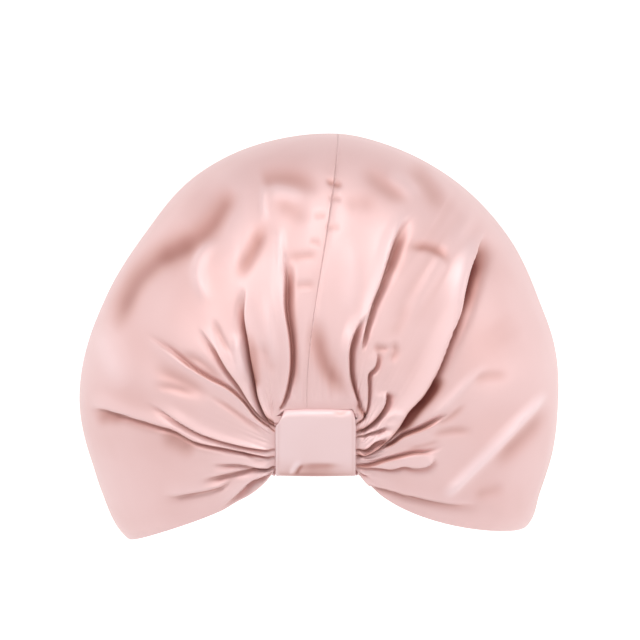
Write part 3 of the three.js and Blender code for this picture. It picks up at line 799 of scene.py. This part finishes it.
# The lip over the band turns in. Its rows run from the inside out to the edge of the panel.
def lip_patch(edge, normals):
    fade = smooth_step(CORNER, CORNER - LIP_FADE, np.arange(len(edge)))[:, None]
    rows = []
    for i in range(LIP_STEPS + 1):
        turn = np.pi / 2 * min(1, i / (LIP_STEPS - 1))
        drop = np.array([0, 0, LIP_DROP * LIP_ROLL * math.sin(turn)])
        depth = LIP_ROLL * (1 - math.cos(turn)) + (LIP_TAIL if i == LIP_STEPS else 0)
        rows.append(edge - fade * (drop + normals * depth))
    return np.stack(rows[::-1])


# The seam allowance turns in along the centre seam.
def allowance_patch(side, seam, normals):
    gap = np.array([SIDES[side]["sign"] * SEAM_GAP / 2, 0, 0])
    columns = [seam] + [seam - normals * depth - gap for depth in ALLOWANCE_DEPTHS]
    return np.stack(columns[::-1], axis=1)


# A folded edge: a roll round it, and then the cloth runs back inside.
def hem_fold(sheet, normals):
    edge = sheet[:, 0]
    normal = normals[:, 0]
    outward = edge - sheet[:, 2]
    outward -= normal * (outward * normal).sum(axis=1, keepdims=True)
    outward /= np.maximum(TINY, np.linalg.norm(outward, axis=1, keepdims=True))
    columns = []
    for i in range(ROLL_STEPS + 1):
        turn = math.pi * i / ROLL_STEPS
        out, back = EDGE_ROLL * math.sin(turn), EDGE_ROLL * (1 - math.cos(turn))
        columns.append(edge + outward * out - normal * back)
    for i in range(1, HEM_COLUMNS):
        columns.append(sheet[:, i] - normals[:, i] * 2 * EDGE_ROLL)
    return np.stack(columns, axis=1)


# The hem is folded in, at the side and at the nape.
def hem_patches(body, normals, inner):
    inner_normals = np.repeat(normals[:1, CORNER:], INNER_STEPS, axis=0)
    whole = np.concatenate([inner[:-1], body[:, CORNER:]])
    whole_normals = np.concatenate([inner_normals, normals[:, CORNER:]])
    side_hem = hem_fold(whole[:, ::-1], whole_normals[:, ::-1])
    nape_hem = hem_fold(np.swapaxes(body[::-1], 0, 1), np.swapaxes(normals[::-1], 0, 1))
    return [side_hem, nape_hem[:, ::-1]]


# One panel, as patches that share their edges, and the painted shading of the first patch.
def panel_patches(side):
    share = np.arange(COLUMNS + 1) / COLUMNS
    surfaces = zip(front_surface(side, share), back_surface(side, share))
    body, normals, height, dark = (np.concatenate(parts) for parts in surfaces)
    inner = inner_cloth(side, share[CORNER:], height[0, CORNER:], body[0, CORNER:])
    lip = lip_patch(body[0, : CORNER + 1], normals[0, : CORNER + 1])
    allowance = allowance_patch(side, body[:, 0], normals[:, 0])
    # Painted shading: the painted shade of the folds, with painted light on crests and painted shade in
    # hollows.
    shade = dark - height / FULL_TONE * (1 - np.abs(dark))
    return [body, inner, lip, allowance, *hem_patches(body, normals, inner)], [np.clip(shade, -1, 1)]


def add_object(name, data):
    made = bpy.data.objects.new(name, data)
    bpy.context.scene.collection.objects.link(made)
    return made


def grid_faces(patch, start):
    rows, columns = patch.shape[:2]
    index = np.arange(rows * columns).reshape(rows, columns) + start
    corners = [index[:-1, :-1], index[:-1, 1:], index[1:, 1:], index[1:, :-1]]
    return np.stack(corners, axis=-1).reshape(-1, 4)


def merge_edges(mesh):
    shape = bmesh.new()
    shape.from_mesh(mesh)
    bmesh.ops.remove_doubles(shape, verts=shape.verts, dist=MERGE)
    bmesh.ops.recalc_face_normals(shape, faces=shape.faces)
    shape.to_mesh(mesh)
    shape.free()


def mesh_object(name, patches, shades=()):
    points = [patch.reshape(-1, 3) for patch in patches]
    starts = np.cumsum([0] + [len(part) for part in points])
    faces = [grid_faces(patch, start) for patch, start in zip(patches, starts)]
    # Each point carries its painted shading: painted shade in creases and hollows, painted light on crests.
    painted_shading = np.zeros(starts[-1], np.float32)
    for shade, start in zip(shades, starts):
        painted_shading[start : start + shade.size] = shade.ravel()
    mesh = bpy.data.meshes.new(name)
    mesh.from_pydata(np.vstack(points).tolist(), [], np.vstack(faces).tolist())
    mesh.attributes.new("painted_shading", "FLOAT", "POINT").data.foreach_set("value", painted_shading)
    merge_edges(mesh)
    mesh.shade_smooth()
    return add_object(name, mesh)


# A face on the way over the crown tells whether the panel is inside out.
def make_panel(side):
    piece = mesh_object(f"crown_{side}_satin", *panel_patches(side))
    middle = piece.data.polygons[len(piece.data.polygons) // 4]
    centre = Vector(middle.center) - Vector((0, 0, WIDEST_LEVEL))
    if centre.dot(middle.normal) < 0:
        piece.data.flip_normals()
    solidify = piece.modifiers.new("thickness", "SOLIDIFY")
    solidify.thickness = CLOTH
    solidify.offset = -1
    return piece


# The band, and how finely it is divided.
BAND_RUN = 60
BAND_TURN_STEPS = 14
BAND_ACROSS = 44
BAND_EDGE_STEPS = 6


# The way round the gathered cloth: up in front of it, over it, down behind it and back under it.
def band_station():
    run = np.linspace(0, 1, BAND_RUN, endpoint=False)
    turn = np.linspace(0, 1, BAND_TURN_STEPS, endpoint=False)
    z = np.concatenate([
        mix(SPINE_BOTTOM, SPINE_TOP, run), np.full(BAND_TURN_STEPS, SPINE_TOP),
        mix(SPINE_TOP, SPINE_BOTTOM, run), np.full(BAND_TURN_STEPS, SPINE_BOTTOM),
    ])
    angle = np.concatenate([
        np.zeros(BAND_RUN), np.pi * turn, np.full(BAND_RUN, np.pi), np.pi * (1 + turn),
    ])
    return z, angle


# Wrinkles of the band, and painted shade on it.
BAND_DENTS = [
    {"through": [(282, 470), (300, 468), (318, 467), (336, 467), (350, 469)], "depth": 0.15, "width": 1.5},
    {"through": [(298, 466), (318, 465), (342, 466)], "depth": 0.12, "width": 1.0},
    {"through": [(289, 477), (294, 468), (301, 460)], "depth": -0.35, "width": 1.0},
    {"through": [(295, 478), (299, 470), (304, 464)], "depth": 0.3, "width": 0.7},
    {"through": [(353, 414), (353.5, 445), (352.5, 480)], "depth": 0.12, "width": 0.5, "fade_in": 0.1},
    {"through": [(279, 420), (278.5, 445), (278.5, 476)], "depth": 0.1, "width": 0.6, "fade_in": 0.1},
    {"through": [(332, 412), (341, 414), (349, 411)], "depth": 0.4, "width": 0.9, "shade": -0.2},
    {"through": [(270, 466), (300, 472), (330, 473), (362, 474)],
     "depth": 0, "width": 4, "shade": 0.14, "fade_in": 0.02, "fade_out": 0.02},
    {"through": [(300, 470), (318, 469), (338, 470)], "depth": 0, "width": 2, "shade": 0.15},
    {"through": [(276, 481), (315, 480), (357, 483)],
     "depth": 0.6, "width": 3, "fade_in": 0.05, "fade_out": 0.05},
]
# How deep a wrinkle of the band counts as full painted shade.
FULL_BAND_TONE = 1.2 * MM


def band_relief(points):
    height, dark = np.zeros(len(points)), np.zeros(len(points))
    for row in BAND_DENTS:
        dent_relief(row, points[:, ::2], height, dark)
    return height, dark


# The section of the band: the outer face, a round edge, the inner face and a round edge. Its columns are
# the place across, from edge to edge, the place through the cloth and the way round the edge.
def band_section():
    across = np.linspace(-1, 1, BAND_ACROSS)
    turn = np.linspace(0, np.pi, BAND_EDGE_STEPS + 2)[1:-1]
    section = [(a, 1.0, 0.0) for a in across]
    section += [(1.0, math.cos(t), math.sin(t)) for t in turn]
    section += [(a, -1.0, 0.0) for a in across[::-1]]
    section += [(-1.0, -math.cos(t), -math.sin(t)) for t in turn]
    return np.array(section)


def band_directions(x, z, angle):
    normal = base_normal(x, z, False)
    along = np.cross(np.array([1.0, 0, 0]), normal)
    along /= np.linalg.norm(along, axis=1, keepdims=True)
    along *= np.sign(along[:, 2:])
    return normal, normal * math.cos(angle) + along * math.sin(angle)


# One section of the band, at a level and an angle of its way round the gathered cloth, and its painted
# shades.
def band_row(section, level, angle):
    across, through, edge = section.T
    half = BAND_CLOTH / 2
    near_top = smooth_step(BAND_TOP - BAND_SHOULDER, BAND_TOP, level + BAND_TURN * math.sin(angle))
    width = mix(BAND_WIDTH, BAND_TOP_WIDTH, near_top)
    x = BAND_CENTRE + TOP_LEAN * (BAND_WIDTH - width) + across * (width / 2 - half) + edge * half
    z = np.full_like(x, level)
    normal, outward = band_directions(x, z, angle)
    face = max(0, math.cos(angle)) * (through > 0)
    depth = BAND_TURN - half + through * half + BAND_PUFF * (1 - across**2) * face
    place = base_point(x, z, False) - normal * GATHER / 2 + outward * depth[:, None]
    place[:, 2] -= corner_fall(x) * near_top
    sunk, dark = band_relief(place)
    return place + outward * (face * sunk)[:, None], face * (dark - sunk / FULL_BAND_TONE)


# The first row and column come once more at the end, to close the loop.
def closed(grid):
    grid = np.concatenate([grid, grid[:1]])
    return np.concatenate([grid, grid[:, :1]], axis=1)


def make_band():
    section = band_section()
    rows, shades = zip(*(band_row(section, level, angle) for level, angle in zip(*band_station())))
    shade = np.clip(closed(np.stack(shades)), -1, 1)
    return mesh_object("knot_band_satin", [closed(np.stack(rows))], [shade])


# Materials. The satin's colour has painted light on crests and painted shade in creases, with soft patches
# of chance between.
SATIN = {
    "Metallic": 0.22, "Specular IOR Level": 0.5,
    "Sheen Weight": 0.18, "Sheen Roughness": 0.4, "Sheen Tint": (1.0, 0.9, 0.9, 1),
}
# The painted shade colours: the shade, and the deepest shade at the bottom of a crease.
SHADE_COLOR = (0.6, 0.3, 0.26)
DEEP_SHADE_COLOR = (0.22, 0.042, 0.03)
MIDDLE_PLACE = 0.5
SHADE_PLACE = 0.75
PATCHES = {"Scale": 22, "Detail": 2}
PATCH_TONE = {"From_Min": 0.3, "From_Max": 0.7, "To_Min": -0.07, "To_Max": 0.07}

# The wrinkles and the weave of the cloth.
BUMPS = [
    {"scale": 45, "detail": 1, "strength": 0.35, "height": 1.2 * MM},
    {"scale": 1400, "detail": 2, "strength": 0.15, "height": 0.1 * MM},
]


def node(tree, kind, **values):
    made = tree.nodes.new(kind)
    for name, value in values.items():
        made.inputs[name.replace("_", " ")].default_value = value
    return made


def new_material(name, look):
    material = bpy.data.materials.new(name)
    material.use_nodes = True
    tree = material.node_tree
    shader = tree.nodes["Principled BSDF"]
    for socket, value in look.items():
        shader.inputs[socket].default_value = value
    return material, tree, shader


def add_bumps(tree, shader, place):
    target = shader.inputs["Normal"]
    for row in BUMPS:
        noise = node(tree, "ShaderNodeTexNoise", Scale=row["scale"], Detail=row["detail"])
        bump = node(tree, "ShaderNodeBump", Strength=row["strength"], Distance=row["height"])
        tree.links.new(place, noise.inputs["Vector"])
        tree.links.new(noise.outputs["Fac"], bump.inputs["Height"])
        tree.links.new(bump.outputs["Normal"], target)
        target = bump.inputs["Normal"]


# Where a place lies on the ramp of painted shading: 0 is painted light on a crest, 1 the deepest painted
# shade.
def painted_shading_share(tree, place):
    painted_shading = tree.nodes.new("ShaderNodeAttribute")
    painted_shading.attribute_name = "painted_shading"
    patches = node(tree, "ShaderNodeTexNoise", **PATCHES)
    vary = node(tree, "ShaderNodeMapRange", **PATCH_TONE)
    total = tree.nodes.new("ShaderNodeMath")
    share = node(tree, "ShaderNodeMapRange", From_Min=-1, From_Max=1)
    tree.links.new(place, patches.inputs["Vector"])
    tree.links.new(patches.outputs["Fac"], vary.inputs["Value"])
    tree.links.new(painted_shading.outputs["Fac"], total.inputs[0])
    tree.links.new(vary.outputs["Result"], total.inputs[1])
    tree.links.new(total.outputs["Value"], share.inputs["Value"])
    return share.outputs["Result"]


# The ramp of painted light and painted shade: crest colour, middle, shade and deepest shade.
def satin_colors(tree, light, middle):
    ramp = tree.nodes.new("ShaderNodeValToRGB")
    colors = ramp.color_ramp
    colors.interpolation = "B_SPLINE"
    colors.elements.new(MIDDLE_PLACE).color = (*middle, 1)
    colors.elements.new(SHADE_PLACE).color = (*SHADE_COLOR, 1)
    colors.elements[0].color = (*light, 1)
    colors.elements[-1].color = (*DEEP_SHADE_COLOR, 1)
    return ramp


def satin(name, light, middle, roughness):
    material, tree, shader = new_material(name, {**SATIN, "Roughness": roughness})
    place = tree.nodes.new("ShaderNodeTexCoord").outputs["Object"]
    ramp = satin_colors(tree, light, middle)
    tree.links.new(painted_shading_share(tree, place), ramp.inputs["Fac"])
    tree.links.new(ramp.outputs["Color"], shader.inputs["Base Color"])
    add_bumps(tree, shader, place)
    return material


# Stage, lights and camera. The floor bends up into a round wall, so no horizon shows from any side. Its
# glow grows from the front to the back.
FLOOR_DROP = 0.35
FLOOR_START = 0.01
FLOOR_FLAT = 3.5
FLOOR_BEND = 2.5
FLOOR_TOP = 5.0
FLOOR_ROWS = 12
FLOOR_COLUMNS = 65
FLOOR_LOOK = {"Base Color": (0.6, 0.6, 0.6, 1), "Roughness": 0.9, "Emission Color": (1, 1, 1, 1)}
FLOOR_GLOW = {"From_Min": -2, "From_Max": 1.5, "To_Min": 0.1, "To_Max": 0.8}


def floor_grid():
    bend = np.linspace(0, np.pi / 2, FLOOR_ROWS)
    wall = FLOOR_FLAT + FLOOR_BEND
    reach = np.concatenate([[FLOOR_START], FLOOR_FLAT + FLOOR_BEND * np.sin(bend), [wall]])
    rise = np.concatenate([[0], FLOOR_BEND * (1 - np.cos(bend)), [FLOOR_TOP]]) - FLOOR_DROP
    turn = np.linspace(0, 2 * np.pi, FLOOR_COLUMNS)
    across, along = np.outer(reach, np.cos(turn)), np.outer(reach, np.sin(turn))
    return np.stack([across, along, np.outer(rise, np.ones_like(turn))], axis=-1)


def floor_material():
    material, tree, shader = new_material("pale_floor", FLOOR_LOOK)
    split = tree.nodes.new("ShaderNodeSeparateXYZ")
    glow = node(tree, "ShaderNodeMapRange", **FLOOR_GLOW)
    tree.links.new(tree.nodes.new("ShaderNodeTexCoord").outputs["Object"], split.inputs["Vector"])
    tree.links.new(split.outputs["Y"], glow.inputs["Value"])
    tree.links.new(glow.outputs["Result"], shader.inputs["Emission Strength"])
    return material


def make_stage():
    floor = mesh_object("floor", [floor_grid()])
    floor.data.materials.append(floor_material())


# The lights, each turned to the middle of the bonnet: place and size in metres, power in watts.
LIGHT_TARGET = (0, 0, 0.1)
LIGHTS = [
    {"name": "key", "place": (-1.4, -1.4, 1.5), "size": (0.7, 0.7), "power": 20},
    {"name": "front", "place": (0.6, -2.2, 0.8), "size": (1.2, 1.2), "power": 7},
    {"name": "rim", "place": (1.9, -0.5, 0.5), "size": (0.6, 1.0), "power": 7},
    {"name": "top", "place": (0.2, -0.9, 2.0), "size": (1.0, 1.0), "power": 20},
]
WORLD_STRENGTH = 0.15


# A light or a camera is set at a place and turned along a direction.
def aim(thing, place, direction):
    thing.location = place
    thing.rotation_mode = "QUATERNION"
    thing.rotation_quaternion = direction.to_track_quat("-Z", "Y")


def area_light(name, place, size, power):
    light = bpy.data.lights.new(name, "AREA")
    light.shape = "RECTANGLE"
    light.size, light.size_y = size
    light.energy = power
    aim(add_object(name, light), Vector(place), Vector(LIGHT_TARGET) - Vector(place))


def make_camera():
    camera = bpy.data.cameras.new("camera")
    camera.sensor_width = SENSOR
    camera.lens = SENSOR * CAMERA_DISTANCE / (PHOTO_SIZE * PIXEL)
    camera.shift_x = (PHOTO_SIZE / 2 - TARGET_PLACE[0]) / PHOTO_SIZE
    camera.shift_y = (TARGET_PLACE[1] - PHOTO_SIZE / 2) / PHOTO_SIZE
    back = Vector((0, -math.cos(CAMERA_ELEVATION), math.sin(CAMERA_ELEVATION)))
    viewer = add_object("camera", camera)
    aim(viewer, Vector(TARGET) + back * CAMERA_DISTANCE, -back)
    bpy.context.scene.camera = viewer


def make_world():
    world = bpy.data.worlds.new("studio")
    world.use_nodes = True
    background = world.node_tree.nodes["Background"]
    background.inputs["Color"].default_value = (1, 1, 1, 1)
    background.inputs["Strength"].default_value = WORLD_STRENGTH
    bpy.context.scene.world = world


crown = satin("crown_satin", light=(0.92, 0.71, 0.72), middle=(0.83, 0.56, 0.55), roughness=0.5)
band = satin("band_satin", light=(0.93, 0.75, 0.77), middle=(0.88, 0.67, 0.68), roughness=0.48)
for side in ("left", "right"):
    panel = make_panel(side)
    panel.data.materials.append(crown)
    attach(panel, "root")
    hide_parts(f"crown_{side}")
knot = make_band()
knot.data.materials.append(band)
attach(knot, "root")
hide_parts("knot_band")

make_camera()
make_stage()
make_world()
for light in LIGHTS:
    area_light(**light)
bpy.context.scene.view_settings.view_transform = "Standard"
